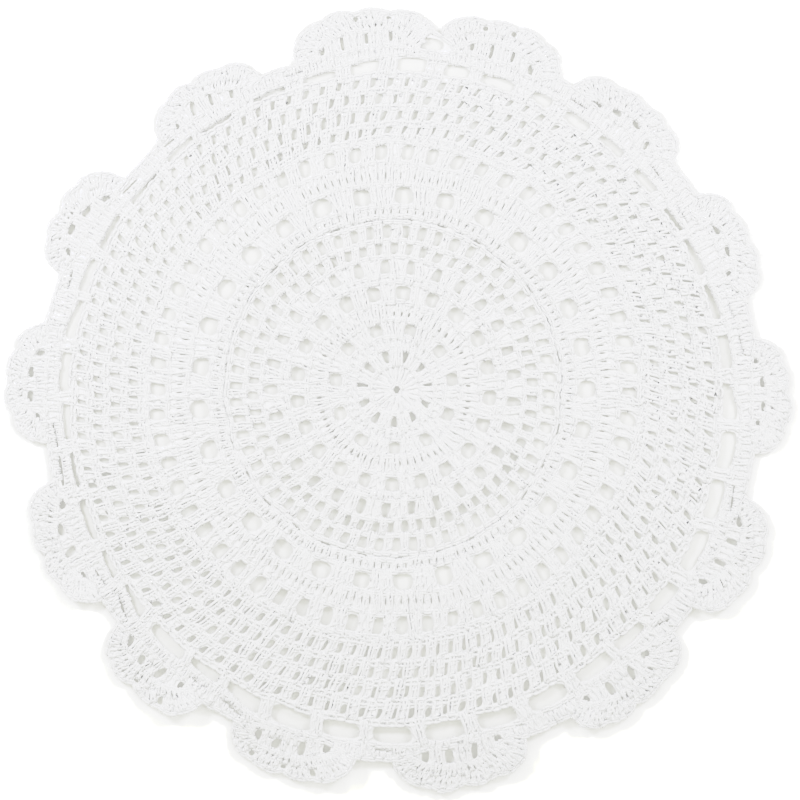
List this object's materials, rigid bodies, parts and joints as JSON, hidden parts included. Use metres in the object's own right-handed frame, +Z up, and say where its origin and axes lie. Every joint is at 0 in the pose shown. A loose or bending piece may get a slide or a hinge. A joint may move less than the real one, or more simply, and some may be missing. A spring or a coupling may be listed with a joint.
{
  "type": "lace doily",
  "caption": "Round white crocheted cotton doily lying flat, with rings of openwork and a scalloped shell edging.",
  "frame": {"origin": "under the middle of the sheet, on the surface it lies on", "axes": "+Z up through the sheet, right side up; +X to the maker's right, +Y away from the maker"},
  "size_m": [0.35, 0.3492, 0.002],
  "materials": {
    "cotton": "matt white crochet cotton"
  },
  "bodies": {
    "root": {"doily": "cotton"}
  },
  "joints": []
}
